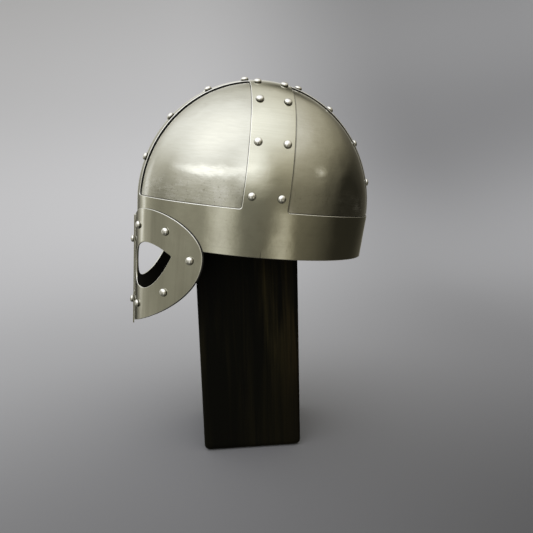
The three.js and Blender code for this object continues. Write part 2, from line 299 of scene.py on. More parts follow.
def ring_sheet(place, width, sheet, inner_round, outer_round, free, rows, walls, flare=0.0):
    """A closed sheet between an inner and an outer outline, with rounded edges on its face.

    place(share, depth) gives points for shares of the way from the inner to the outer outline, one row of
    columns at a time, at depths below the face. An edge is a quarter circle of its round in share and depth.
    Where the outer outline isn't free the sheet is left open, so that its neighbour can join it there.
    The walls along the inner and the outer outline get the two finishes of walls, and the outer one leans out
    by flare on its way down.
    """
    turn = np.radians([0, 30, 60, 90])[:, None]
    outer_round = np.where(free, outer_round, 0)
    near = inner_round * (1 - np.cos(turn)) / width
    far = 1 - outer_round * (1 - np.cos(turn[::-1])) / width
    support = near[-1] + EDGE_SUPPORT / width
    last = np.minimum(far[0] - np.where(free, EDGE_SUPPORT, 0) / width, 1)
    across = support + (last - support) * np.linspace(0, 1, rows)[:, None]
    back = np.linspace(1, 0, rows // 2)[:, None] * (1 + np.where(free, flare, 0) / width)
    share = np.concatenate([near, across, far, back])
    depth = np.concatenate(
        [
            inner_round * (1 - np.sin(turn)) * np.ones_like(width),
            np.zeros_like(across),
            outer_round * (1 - np.sin(turn[::-1])),
            np.full_like(back, sheet),
        ]
    )
    points = place(share, depth)
    count, columns = share.shape
    faces = grid_faces(count, columns, wrap_rows=True, wrap_columns=True)
    row = np.repeat(np.arange(count), columns)
    column = np.tile(np.arange(columns), count)
    edge_start, back_start = len(near) + rows, len(near) + rows + len(far)
    walled = free & np.roll(free, -1)
    open_wall = (row >= edge_start) & (row < back_start) & ~walled[column]
    finish = np.where((row >= back_start) & (row < count - 1), UNDERSIDE, FACE)
    finish[row == count - 1] = walls[0]
    finish[row == back_start - 1] = walls[1]
    finish[(row < len(near) - 1) | ((row >= edge_start) & (row < back_start - 1))] = EDGE
    return points, faces[~open_wall], finish[~open_wall]


EDGE_SUPPORT = 0.0004


def closed_sheet(top, under):
    """A closed sheet from two grids of points of one size: its face, its underside and the four edges."""
    rows, columns, _ = top.shape
    face = grid_faces(rows, columns)
    start = rows * columns
    index = np.arange(start).reshape(rows, columns)
    loop = np.concatenate([index[0, :-1], index[:-1, -1], index[-1, :0:-1], index[:0:-1, 0]])
    ahead = np.roll(loop, -1)
    edge = np.stack([loop, ahead, ahead + start, loop + start], axis=-1)
    faces = np.concatenate([face, face[:, ::-1] + start, edge])
    finish = np.repeat([FACE, UNDERSIDE, FACE], [len(face), len(face), len(edge)])
    return np.concatenate([top.reshape(-1, 3), under.reshape(-1, 3)]), faces, finish


# ---- bands ----


def third(a, b):
    """The third part of unit vectors whose other two parts are known, taken as positive."""
    return np.sqrt(np.clip(1 - np.square(a) - np.square(b), 0, 1))


def on_dome(sizes, x, beyond, end):
    """Unit vectors of dome points at places x and at distances beyond the side band's middle, towards an end.

    The band slants, so its middle depends on the height, which is found by going round three times.
    """
    radii = dome_radii(sizes)
    rise = np.full(np.shape(x), FIRST_RISE)
    for _ in range(3):
        y = side_band_middle(sizes, sizes.brow_height + rise * radii[2]) + end * beyond
        rise = third(x / radii[0], y / radii[1])
    return np.stack([x / radii[0], y / radii[1], rise], axis=-1)


FIRST_RISE = 0.9  # the rise that the rounds start from, as a share of the dome's


def beside_band(sizes, latitude, beyond, end):
    """Unit vectors on the left at latitudes and at distances beyond the side band's middle, to an end."""
    rise = np.sin(latitude)
    middle = side_band_middle(sizes, sizes.brow_height + np.maximum(rise, 0) * sizes.dome_rise)
    y = (middle + end * beyond) / sizes.half_length
    y = np.where(latitude < 0, y * np.cos(latitude), y)
    return np.stack([third(y, rise), y, rise], axis=-1)


def beside_keel(sizes, latitude, x, end):
    """Unit vectors at latitudes and at places x, ahead of or behind the side band."""
    across = x / sizes.half_width * np.ones_like(latitude)
    rise = np.sin(latitude)
    return np.stack([across, end * third(across, rise), rise], axis=-1)


def window_outline(sizes, end):
    """Unit vectors round the opening between the bands on the left, at one end, and round its quarter.

    The opening's outline runs along the brow band's top, up the side band's edge and down the keel band's
    edge, and a corner is a quarter circle. The outer outline keeps pace with it, along the rim, up the side
    band's middle to the crown and down the keel band's middle. The third array says whether an outer point is
    on the rim.
    """
    edge, corner, small = sizes.band_width / 2, sizes.band_corner, sizes.crossing_corner
    quarter = np.linspace(0, math.pi / 2, CORNER_STEPS)
    inward, upward = 1 - np.sin(quarter), 1 - np.cos(quarter)
    corner_latitude = np.arcsin(corner * upward / sizes.dome_rise)
    low, rim = corner_latitude[-1], -sizes.brow_height / sizes.dome_rise
    brow_ends = [
        beside_keel(sizes, np.zeros(1), edge + corner, end)[0],
        beside_band(sizes, np.zeros(1), edge + corner, end)[0],
    ]
    start, stop = (math.atan2(unit[0], -unit[1]) for unit in brow_ends)
    brow_longitude = np.linspace(start, stop, BROW_STEPS)[1:-1]
    crossing = on_dome(sizes, edge + small * inward, edge + small * upward, end)
    band_top, keel_top = math.asin(crossing[0, 2]), math.asin(crossing[-1, 2])
    keel_latitude = np.linspace(keel_top, low, EDGE_STEPS)[1:-1]
    inner = [
        unit_from(brow_longitude, np.zeros_like(brow_longitude)),
        beside_band(sizes, corner_latitude, edge + corner * inward, end),
        beside_band(sizes, np.linspace(low, band_top, EDGE_STEPS)[1:-1], edge, end),
        crossing,
        beside_keel(sizes, keel_latitude, edge, end),
        beside_keel(sizes, corner_latitude[::-1], edge + corner * inward[::-1], end),
    ]
    half = CORNER_STEPS // 2
    rest = CORNER_STEPS - half
    band_longitude = math.acos(-sizes.side_at_brow / sizes.half_length)
    keel_longitude = math.pi if end > 0 else 0
    rim_after = np.linspace(stop, band_longitude, half + 1)[:-1]
    rim_before = np.linspace(keel_longitude, start, half + 1)[1:]
    middle_top = math.acos(edge / sizes.half_width)
    keel_reach = sizes.half_length * math.cos(keel_top) - end * sizes.side_at_crown
    outer = [
        unit_from(brow_longitude, np.full_like(brow_longitude, rim)),
        unit_from(rim_after, np.full(half, rim)),
        beside_band(sizes, np.linspace(rim, low, rest), 0, end),
        beside_band(sizes, np.linspace(low, middle_top, EDGE_STEPS)[1:-1], 0, end),
        on_dome(sizes, np.linspace(edge, 0, half + 1)[:-1], 0, end),
        on_dome(sizes, np.zeros(rest), np.linspace(0, keel_reach, rest), end),
        beside_keel(sizes, keel_latitude, 0, end),
        beside_keel(sizes, np.linspace(low, rim, rest), 0, end),
        unit_from(rim_before, np.full(half, rim)),
    ]
    free = np.zeros(sum(len(leg) for leg in outer), bool)
    free[: len(brow_longitude) + half + 1] = True
    free[-half - 1 :] = True
    return np.concatenate(inner), np.concatenate(outer), free


CORNER_STEPS = 13
BROW_STEPS = 110
EDGE_STEPS = 64
BAND_ROWS = 14


def band_quarter(sizes, side, end):
    """One quarter of the bands: the sheet between a window's outline and the middles of its bands.

    Its wall is bare iron ahead of the side band, and black behind it and by the keel band, as painted shade of
    the gap between the band's edge and the plate below.
    """
    inner, outer, free = window_outline(sizes, end)

    def place(share, depth):
        unit = inner + (outer - inner) * share[..., None]
        unit /= np.linalg.norm(unit, axis=-1, keepdims=True)
        return on_helmet(sizes, unit, -depth, side)

    gap = helmet_surface(sizes, outer, 0) - helmet_surface(sizes, inner, 0)
    width = np.linalg.norm(gap, axis=-1)
    by_keel = inner[:, 0] * sizes.half_width < sizes.band_width
    # Black paint on these walls is painted shade of the gap between the band and the plate.
    walls = (np.where(by_keel | (end > 0), UNDERSIDE, FACE), FACE)
    return ring_sheet(place, width, sizes.sheet, EDGE_ROUND, RIM_ROUND, free, BAND_ROWS, walls)


EDGE_ROUND = 0.0005
RIM_ROUND = 0.0004


# ---- dome plates ----


def plate_grid(sizes, side, end, depth):
    """Points of one dome plate: rows from low behind the brow band to where it ends under the crossing.

    A row runs at one latitude from beside the keel band's middle to beside the side band's middle. The two
    meet at the top row, which is one point.
    """
    inset = sizes.band_width / 2 - sizes.plate_lap
    low = -sizes.plate_tuck / sizes.dome_rise
    top = math.asin(on_dome(sizes, np.array([inset]), inset, end)[0, 2])
    share = np.linspace(0, 1, PLATE_ROWS)
    latitude = low + (top - low) * share
    flat = np.cos(latitude)
    middle = side_band_middle(sizes, sizes.brow_height + np.maximum(np.sin(latitude), 0) * sizes.dome_rise)
    by_keel = np.arcsin(np.clip(inset / sizes.half_width / flat, -1, 1))
    by_band = np.arcsin(np.clip(end * (middle + end * inset) / sizes.half_length / flat, -1, 1))
    start = np.where(end > 0, math.pi - by_keel, by_keel)
    stop = math.pi / 2 + end * by_band
    across = np.linspace(0, 1, PLATE_COLUMNS)
    longitude = start[:, None] + (stop - start)[:, None] * across
    longitude[-1] = longitude[-1].mean()
    unit = unit_from(longitude, np.broadcast_to(latitude[:, None], longitude.shape))
    uneven = plate_unevenness(unit, side, end) * np.sin(math.pi * share)[:, None]
    return on_helmet(sizes, unit, uneven - depth, side)


PLATE_ROWS = 90
PLATE_COLUMNS = 90


def plate_unevenness(unit, side, end):
    """Slow dents of a hand-raised plate: the mean of three waves over the unit sphere, times their depth."""
    phase = 1.7 * side + 0.9 * end
    x, y, z = unit[..., 0], unit[..., 1], unit[..., 2]
    waves = np.sin(7 * x + 5 * z + phase) + np.sin(8 * y - 6 * z + 2 * phase)
    return DENT_DEPTH * (waves + np.sin(9 * (x - y) + 3 * phase)) / 3


DENT_DEPTH = 0.00012


def dome_plate(sizes, side, end):
    """One curved plate of the dome, a sheet below the bands."""
    face = sizes.sheet + sizes.layer_gap
    return closed_sheet(plate_grid(sizes, side, end, face), plate_grid(sizes, side, end, face + sizes.sheet))


# ---- spectacle guard ----


def bezier(start, first, second, end):
    """Points on a cubic curve, without the last one."""
    t = np.linspace(0, 1, CURVE_STEPS, endpoint=False)[:, None]
    start, first, second, end = (np.array(point) for point in (start, first, second, end))
    return (1 - t) ** 3 * start + 3 * (1 - t) ** 2 * t * first + 3 * (1 - t) * t**2 * second + t**3 * end


def guard_outlines(guard):
    """The left eye hole's and the left half guard's outlines, as lengths along the brow and heights."""
    temple, peak = (guard.reach, -0.0075), (0.0477, guard.top)
    outline = [
        bezier((0, guard.bottom), (0.0508, -0.0771), (guard.reach, -0.0483), temple),
        bezier(temple, (guard.reach, 0.0113), (0.0861, guard.top), peak),
        bezier(peak, (0.018, guard.top), (0.017, guard.dip), (0, guard.dip)),
        np.linspace((0, guard.dip), (0, guard.bottom), CURVE_STEPS, endpoint=False),
    ]
    under, over, inner = (0.033, guard.eye_bottom), (0.0475, guard.eye_top), (guard.eye_inner, -0.025)
    low_corner, high_corner = (0.0794, -0.0092), (0.079, -0.0082)
    eye = [
        bezier(under, (0.0521, guard.eye_bottom), (0.0677, -0.0319), low_corner),
        np.linspace(low_corner, high_corner, 4, endpoint=False),
        bezier(high_corner, (0.068, -0.0032), (0.0592, guard.eye_top), over),
        bezier(over, (0.033, guard.eye_top), (guard.eye_inner, -0.008), inner),
        bezier(inner, (guard.eye_inner, -0.039), (0.02, guard.eye_bottom), under),
    ]
    corners = [(0, guard.bottom), (0, guard.dip), low_corner, high_corner]
    return np.concatenate(eye), np.concatenate(outline), np.array(corners)


CURVE_STEPS = 60
EYE_MIDDLE = np.array([0.047, -0.024])
GUARD_COLUMNS = 300
GUARD_ROWS = 14


def paced_outlines(guard):
    """The eye hole's and the guard's outlines at the same angles round the middle of the eye."""
    eye, outline, corners = guard_outlines(guard)

    def angles_of(points):
        return np.arctan2(points[:, 1] - EYE_MIDDLE[1], points[:, 0] - EYE_MIDDLE[0])

    even = np.linspace(-math.pi, math.pi, GUARD_COLUMNS, endpoint=False)
    fixed = angles_of(corners)
    apart = np.abs(even[:, None] - fixed).min(axis=1) > math.pi / GUARD_COLUMNS / 2
    angles = np.sort(np.concatenate([even[apart], fixed]))

    def at_angles(points):
        own = angles_of(points)
        return np.stack([np.interp(angles, own, points[:, i], period=2 * math.pi) for i in (0, 1)], axis=-1)

    return at_angles(eye), at_angles(outline)


def guard_half(sizes, guard, side):
    """One half of the guard: the sheet between the eye hole and the outline, open along the nose."""
    inner, outer = paced_outlines(guard)
    on_middle = outer[:, 0] < MERGE_DISTANCE
    outer[on_middle, 0] = 0
    face = sizes.layer_gap + sizes.sheet

    def place(share, depth):
        flat = inner + (outer - inner) * share[..., None]
        unit = wall_units(sizes, flat[..., 0], flat[..., 1])
        return on_helmet(sizes, unit, face - depth, side)

    width = np.linalg.norm(outer - inner, axis=-1)
    free = ~(on_middle & np.roll(on_middle, 1) & np.roll(on_middle, -1))
    # The black outer wall is painted shade of the gap by the band; it leans out most at the temple.
    walls = (FACE, UNDERSIDE)
    flare = GUARD_SHADE_FLARE * (outer[:, 0] / guard.reach) ** 2
    return ring_sheet(place, width, sizes.sheet, GUARD_ROUND, GUARD_ROUND, free, GUARD_ROWS, walls, flare)


GUARD_ROUND = 0.0004
# How far the guard's black outer wall, painted shade, leans out at the temple.
GUARD_SHADE_FLARE = 0.001  # at the temple


def closed_tube(rows):
    """A closed solid from rows of points that each go once round it, with a pole added at each end."""
    first, last = (np.broadcast_to(row.mean(axis=0), row.shape) for row in (rows[0], rows[-1]))
    points = np.concatenate([first[None], rows, last[None]])
    faces = grid_faces(points.shape[0], points.shape[1], wrap_columns=True)
    return points, faces, np.zeros(len(faces), int)


def nose_strip(sizes, guard):
    """The nose strip: a flat section with rounded front edges, carried down the middle of the guard.

    The section is a little smaller at its two ends, which eases them.
    """
    half, corner = guard.strip_width / 2, STRIP_ROUND
    turn = np.linspace(0, math.pi / 2, STRIP_BEND)
    front = np.linspace(-half + corner, half - corner, STRIP_COLUMNS)[1:-1]
    back = np.linspace(half, -half, STRIP_COLUMNS)
    bend_across, bend_depth = half - corner * (1 - np.sin(turn)), corner * (1 - np.cos(turn))
    across = np.concatenate([front, bend_across, back, -bend_across[::-1]])
    flat_back = np.full_like(back, sizes.sheet)
    depth = np.concatenate([np.zeros_like(front), bend_depth, flat_back, bend_depth[::-1]])
    body = np.linspace(guard.strip_top - corner, guard.strip_bottom + corner, STRIP_ROWS)
    height = np.concatenate([[guard.strip_top], body, [guard.strip_bottom]])[:, None]
    at_end = (np.arange(len(height)) % (len(height) - 1) == 0)[:, None]
    along = across * np.where(at_end, 1 - corner / half, 1)
    below = depth + np.where(at_end, corner * (1 - depth / sizes.sheet), 0)
    face = 2 * (sizes.layer_gap + sizes.sheet)
    unit = wall_units(sizes, along, height * np.ones_like(along))
    return closed_tube(on_helmet(sizes, unit, face - below))


STRIP_ROUND = 0.0004
STRIP_BEND = 6
STRIP_COLUMNS = 12
STRIP_ROWS = 60


# ---- rivets ----


def rivet_profile(rivets, grip):
    """Radii and heights of a rivet from the tip of its tail to the crown of its head, round its own axis.

    The head is a squashed circle that starts a little below its widest ring, with a low collar round its foot,
    which is painted dark as shade. The tail is a quarter of a squashed circle.
    """
    bulge = np.linspace(-HEAD_UNDERCUT, math.pi / 2, HEAD_RINGS)
    head_radius = (rivets.head_radius - COLLAR_WIDTH) * np.cos(bulge)
    under = math.sin(HEAD_UNDERCUT)
    share = (np.sin(bulge) + under) / (1 + under)
    head_height = COLLAR_HEIGHT + (rivets.head_height - COLLAR_HEIGHT) * share
    turn = np.linspace(0, math.pi / 2, HEAD_RINGS)
    tail_radius = rivets.tail_radius * np.sin(turn)
    tail_height = -grip - rivets.tail_height * np.cos(turn)
    shank = [rivets.shank_radius, rivets.shank_radius]
    collar = [rivets.head_radius, rivets.head_radius]
    radius = np.concatenate([tail_radius[1:], shank, collar, head_radius[:-1]])
    height = np.concatenate([tail_height[1:], [-grip, 0], [0, COLLAR_HEIGHT], head_height[:-1]])
    return radius, height


HEAD_RINGS = 10
COLLAR_WIDTH = 0.00025
COLLAR_HEIGHT = 0.00012
# Rings painted black as shade round the foot of a rivet's head.
RIVET_SHADE_RINGS = 3  # from the collar up the foot of the head
HEAD_UNDERCUT = math.radians(24)
RIVET_COLUMNS = 28


def rivet_seat(sizes, node):
    """Where a rivet's axis meets the face of the bands, and the unit vector of that place."""
    low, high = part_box(node)
    middle = seat_matrix(sizes).inverted() @ ((low + high) / 2)
    radii = dome_radii(sizes)
    x, y, rise = middle.x / radii[0], middle.y / radii[1], (middle.z - sizes.brow_height) / radii[2]
    if rise < 0:
        return unit_from(np.array(math.atan2(x, -y)), np.array(rise))
    return np.array([x, y, rise]) / math.sqrt(x * x + y * y + rise * rise)


def rivet(sizes, rivets, node, face, draw):
    """One rivet, turned about the surface's normal at its place, with its head on a face.

    Its head is a little larger or smaller and leans a little, as hammered heads do.
    """
    unit = rivet_seat(sizes, node)
    base, ahead = helmet_surface(sizes, np.stack([unit, unit]), np.array([face, face + 1]))
    axis = ahead - base
    lean = draw.normal(0, HEAD_LEAN, 3)
    axis = (axis + lean) / np.linalg.norm(axis + lean)
    across = np.cross(axis, OFF_AXIS)
    across /= np.linalg.norm(across)
    along = np.cross(axis, across)
    radius, height = rivet_profile(rivets, sizes.sheet * 2 + sizes.layer_gap + face)
    size = 1 + draw.uniform(-HEAD_SPREAD, HEAD_SPREAD)
    turn = np.linspace(0, 2 * math.pi, RIVET_COLUMNS, endpoint=False)
    out = np.cos(turn)[:, None] * across + np.sin(turn)[:, None] * along
    rows = base + size * (radius[:, None, None] * out + height[:, None, None] * axis)
    points, faces, _ = closed_tube(rows)
    ring = np.repeat(np.arange(len(rows) + 1), RIVET_COLUMNS)
    # The tail and the shank are black, and the collar and the foot of the head are painted black as shade.
    finish = np.where(ring <= HEAD_RINGS + 1 + RIVET_SHADE_RINGS, UNDERSIDE, FACE)
    points[-1] = base + size * rivets.head_height * axis
    points[0] = base - size * (sizes.sheet * 2 + sizes.layer_gap + face + rivets.tail_height) * axis
    return seated(sizes, points), faces, finish


HEAD_LEAN = 0.02
HEAD_SPREAD = 0.03
OFF_AXIS = (0.3, 0.2, 1.0)  # a way that no rivet's axis has


# ---- post ----


def post_section():
    """A square with rounded corners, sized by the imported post's box, once round from the start of a side."""
    half = (POST_HIGH.x - POST_LOW.x) / 2
    flat = half - POST_ROUND
    turn = np.linspace(0, math.pi / 2, POST_BEND)
    side = np.linspace(-flat, flat, POST_SIDE_STEPS)[1:-1]
    edge = np.stack([np.full_like(side, half), side], axis=-1)
    bend = flat + POST_ROUND * np.stack([np.cos(turn), np.sin(turn)], axis=-1)
    quarter = np.concatenate([edge, bend])
    turns = [quarter]
    for _ in range(3):
        turns.append(turns[-1] @ np.array([[0, 1], [-1, 0]]))
    return np.concatenate(turns)


POST_ROUND = 0.004
POST_FOOT_ROUND = 0.006
POST_BEND = 8
POST_SIDE_STEPS = 24


def dome_over(sizes, x, y, room):
    """Height over points of the floor at which the dome, moved in by room, is met.

    The upright ray is put in the dome's own frame, where meeting an ellipsoid is a quadratic equation.
    """
    radii = dome_radii(sizes, -room)
    inverse = np.array(seat_matrix(sizes).inverted())
    centre = np.array([0, 0, sizes.brow_height])
    floor = np.stack([x, y, np.zeros_like(x)], axis=-1)
    start = (floor @ inverse[:3, :3].T + inverse[:3, 3] - centre) / radii
    way = inverse[:3, 2] / radii
    a, b, c = way @ way, start @ way, (start**2).sum(axis=-1) - 1
    return (-b + np.sqrt(np.maximum(b * b - a * c, 0))) / a


def post_solid(sizes):
    """The post: its section carried up from an eased foot to a top shaped to the dome that rests on it.

    The section shrinks to a pole in the middle of the foot and of the top.
    """
    section = post_section()
    ease = np.linspace(0, math.pi / 2, FOOT_ROWS)
    half = (POST_HIGH.x - POST_LOW.x) / 2
    foot_scale = 1 - POST_FOOT_ROUND * (1 - np.sin(ease)) / half
    foot_height = POST_FOOT_ROUND * (1 - np.cos(ease))
    room = 2 * sizes.sheet + sizes.layer_gap + POST_ROOM

    def top_of(points):
        return np.minimum(POST_HIGH.z, dome_over(sizes, points[..., 0], points[..., 1], room))

    under = [POLE_SCALE, 0.5]
    cap = np.linspace(0.98, POLE_SCALE, CAP_ROWS)
    scales = np.concatenate([under, foot_scale, np.ones(POST_ROWS), cap])
    flat = section * scales[:, None, None]
    top = top_of(flat)
    climb = np.linspace(0, 1, POST_ROWS + 1)[1:, None]
    height = np.concatenate(
        [
            np.zeros((len(under), len(section))),
            np.broadcast_to(foot_height[:, None], (len(ease), len(section))),
            POST_FOOT_ROUND + (top[len(under) + len(ease) : -CAP_ROWS] - POST_FOOT_ROUND) * climb,
            top[-CAP_ROWS:],
        ]
    )
    rows = np.concatenate([flat, height[..., None]], axis=-1)
    return closed_tube(rows)


POST_ROOM = 0.0024  # between the plates and the top of the post
POST_ROWS = 120
FOOT_ROWS = 5
CAP_ROWS = 20
POLE_SCALE = 0.001


# ---- stage ----


def turned_surface(radius, height, columns):
    """An open surface turned about the Z axis from a profile of radii and heights."""
    turn = np.linspace(0, 2 * math.pi, columns, endpoint=False)
    ring = np.stack([np.cos(turn), np.sin(turn)], axis=-1)
    flat = radius[:, None, None] * ring
    rows = np.concatenate([flat, np.broadcast_to(height[:, None, None], flat.shape[:2] + (1,))], axis=-1)
    return rows.reshape(-1, 3), grid_faces(len(radius), columns, wrap_columns=True)


def sweep(stage):
    """A round studio sweep: a flat floor that bends up into a wall all round."""
    bend = np.linspace(0, math.pi / 2, SWEEP_BEND)
    radius = np.concatenate([[SWEEP_POLE], stage.floor_radius + stage.sweep_round * np.sin(bend)])
    height = np.concatenate([[0], stage.sweep_round * (1 - np.cos(bend))])
    radius = np.append(radius, radius[-1])
    height = np.append(height, stage.sweep_height)
    return turned_surface(radius, height, SWEEP_COLUMNS)


SWEEP_BEND = 24
SWEEP_COLUMNS = 96
SWEEP_POLE = 0.001


def add_camera(stage):
    """The camera, looking slightly down along the way its azimuth says, leaning a little to its right."""
    azimuth, drop = stage.camera_azimuth, stage.camera_drop
    flat = math.cos(drop)
    look = Vector((-math.sin(azimuth) * flat, math.cos(azimuth) * flat, -math.sin(drop)))
    level = look.cross(Vector((0, 0, 1))).normalized()
    upright = level.cross(look)
    right = level * math.cos(stage.camera_roll) - upright * math.sin(stage.camera_roll)
    up = right.cross(look)
    data = bpy.data.cameras.new("camera")
    data.lens = stage.lens
    data.sensor_width = SENSOR_WIDTH
    data.clip_start = NEAREST_SEEN
    camera = bpy.data.objects.new("camera", data)
    turned = Matrix((right, up, -look)).transposed().to_4x4()
    camera.matrix_world = Matrix.Translation(stage.camera_place) @ turned
    bpy.context.scene.collection.objects.link(camera)
    bpy.context.scene.camera = camera


SENSOR_WIDTH = 36  # in millimetres
NEAREST_SEEN = 0.01


# ---- shader values ----


class Value:
    """A number in a material: a sum or a product of values adds its Math node."""

    def __init__(self, shader, socket):
        self.shader, self.socket = shader, socket

    def math(self, operation, *others):
        inputs = dict(enumerate([self, *others]))
        return self.shader.node("ShaderNodeMath", inputs, operation=operation)

    def __add__(self, other):
        return self.math("ADD", other)

    def __sub__(self, other):
        return self.math("SUBTRACT", other)

    def __mul__(self, other):
        return self.math("MULTIPLY", other)

    __radd__ = __add__

    def ramp(self, low, high, start=0.0, end=1.0):
        """A smooth rise from start to end as the value goes from low to high."""
        inputs = {"Value": self, "From Min": low, "From Max": high, "To Min": start, "To Max": end}
        return self.shader.node("ShaderNodeMapRange", inputs, interpolation_type="SMOOTHSTEP")


class Shader:
    """The nodes of a material or a world. It starts with one surface node joined to the output."""

    def __init__(self, owner, surface="ShaderNodeBsdfPrincipled", output="ShaderNodeOutputMaterial"):
        self.owner = owner
        owner.use_nodes = True
        self.tree = owner.node_tree
        self.tree.nodes.clear()
        self.surface = self.tree.nodes.new(surface)
        end = self.tree.nodes.new(output)
        self.tree.links.new(self.surface.outputs[0], end.inputs["Surface"])

    def put(self, socket, value):
        """Gives a socket a number or a colour, or links a value to it."""
        if isinstance(value, Value):
            self.tree.links.new(value.socket, socket)
        elif hasattr(value, "__len__"):
            socket.default_value = (*value, 1)[: len(socket.default_value)]
        else:
            socket.default_value = value

    def node(self, kind, inputs, output=0, **settings):
        """Adds a node with its settings and its sockets' values, and gives one of its outputs."""
        made = self.tree.nodes.new(kind)
        for name, setting in settings.items():
            setattr(made, name, setting)
        for key, value in inputs.items():
            self.put(made.inputs[key], value)
        return Value(self, made.outputs[output])

    def finish(self, **sockets):
        """Sets sockets of the surface node by name, with _ for a space."""
        for name, value in sockets.items():
            self.put(self.surface.inputs[name.replace("_", " ")], value)
        return self.owner

    def place(self, scale=(1, 1, 1)):
        """Object coordinates, scaled."""
        own = self.node("ShaderNodeTexCoord", {}, "Object")
        return self.node("ShaderNodeMapping", {"Vector": own, "Scale": scale}, vector_type="POINT")

    def noise(self, vector, scale, detail, roughness, distortion=0.0):
        """Cloudy noise from about 0 to 1."""
        inputs = {
            "Vector": vector,
            "Scale": scale,
            "Detail": detail,
            "Roughness": roughness,
            "Distortion": distortion,
        }
        return self.node("ShaderNodeTexNoise", inputs, "Fac")

    def vector(self, operation, first, second=(0, 0, 0)):
        """Vector Math of two vectors, or of one where the operation takes one."""
        output = "Value" if operation == "LENGTH" else "Vector"
        return self.node("ShaderNodeVectorMath", {0: first, 1: second}, output, operation=operation)

    def parts(self, vector):
        """The three numbers of a vector."""
        made = self.tree.nodes.new("ShaderNodeSeparateXYZ")
        self.put(made.inputs[0], vector)
        return [Value(self, socket) for socket in made.outputs]

    def mix(self, share, first, second):
        """A colour between two colours."""
        made = self.tree.nodes.new("ShaderNodeMix")
        made.data_type = "RGBA"
        factor, a, b = made.inputs[0], made.inputs[6], made.inputs[7]
        for socket, value in ((factor, share), (a, first), (b, second)):
            self.put(socket, value)
        return Value(self, made.outputs[2])

    def bump(self, height, distance, strength=1.0, normal=None):
        """A normal bent by a height in metres' worth of distance."""
        inputs = {"Height": height, "Distance": distance, "Strength": strength}
        if normal is not None:
            inputs["Normal"] = normal
        return self.node("ShaderNodeBump", inputs)


# ---- materials ----


def upright(shader, sizes, scale=(1, 1, 1)):
    """Coordinates of the upright helmet, scaled: Object coordinates taken back through its place and turn."""
    back = seat_matrix(sizes).inverted()
    own = shader.node("ShaderNodeTexCoord", {}, "Object")
    inputs = {"Vector": own, "Location": tuple(back.translation), "Rotation": tuple(back.to_euler("XYZ"))}
    seat = shader.node("ShaderNodeMapping", inputs, vector_type="POINT")
    return shader.vector("MULTIPLY", seat, scale)


def seam_shade_and_dirt(shader, sizes, width):
    """Painted shade of the gaps beside the bands, and dirt there: from 1 at an edge to 0 at a width from it.

    It is narrower ahead of the side band, and wider behind it and along the keel band, most at the rear.
    """
    x, y, z = shader.parts(upright(shader, sizes))
    slant = (sizes.side_at_crown - sizes.side_at_brow) / sizes.dome_rise
    half = sizes.band_width / 2
    middle = (z - sizes.brow_height) * slant + sizes.side_at_brow
    ahead, behind = middle - half - y, y - middle - half
    beside_side = (ahead * THIN_AHEAD).math("MAXIMUM", behind * THIN_BEHIND)
    thin = y.ramp(-CROWN_REACH, CROWN_REACH, THIN_KEEL_FRONT, THIN_KEEL_REAR)
    beside_keel = (x.math("ABSOLUTE") - half) * thin
    above_brow = z - sizes.brow_height
    nearest = beside_side.math("MINIMUM", beside_keel).math("MINIMUM", above_brow)
    return nearest.ramp(width, 0)


# How fast the seams' painted shade and dirt thin out on each side of the bands, and how far from the crown
# the keel's rate changes.
THIN_AHEAD, THIN_BEHIND = 2.5, 0.5
THIN_KEEL_FRONT, THIN_KEEL_REAR = 0.45, 0.3
CROWN_REACH = 0.03


class IronLook(NamedTuple):
    """How one iron differs from the others."""

    brush: tuple  # scales of the grain along the upright helmet's axes
    roughness: float
    unevenness: float  # height of the hammer's waves
    streak: float = 0.0  # strength of streaks broader than the grain
    # next: width of the seams' painted shade and dirt beside the bands
    shade_and_dirt_width: float = 0.0  # width of the dark seams beside the bands
    scuffs: float = 0.0  # height above the brow band at which the scuffs end


IRON_LOOKS = {
    "band_iron": IronLook((12, 12, 900), roughness=0.14, unevenness=0.0006, streak=0.05),
    "plate_iron": IronLook((90, 90, 900), 0.12, 0.0009, streak=0.04, shade_and_dirt_width=0.001, scuffs=0.03),
    "guard_iron": IronLook((700, 700, 25), roughness=0.14, unevenness=0.0004, streak=0.3),
    "rivet_iron": IronLook((300, 300, 300), roughness=0.18, unevenness=0.0001),
}

# Scale, detail, roughness and distortion of the noises in the iron. Those of scale 1 have scaled coordinates.
GRAIN, STREAKS, SCRATCHES = (1.0, 3.0, 0.6), (1.0, 2.0, 0.55), (1.0, 3.0, 0.7, 0.8)
CLOUDS, PATCHES = (16.0, 3.0, 0.55), (60.0, 4.0, 0.6)
WAVES, DIMPLES, PITS = (34.0, 1.0, 0.4), (130.0, 2.0, 0.5), (620.0, 2.0, 0.6)
STREAK_SCALE = 0.16  # share of the brush's scales
SCRATCH_SCALES = (90, 90, 1100)


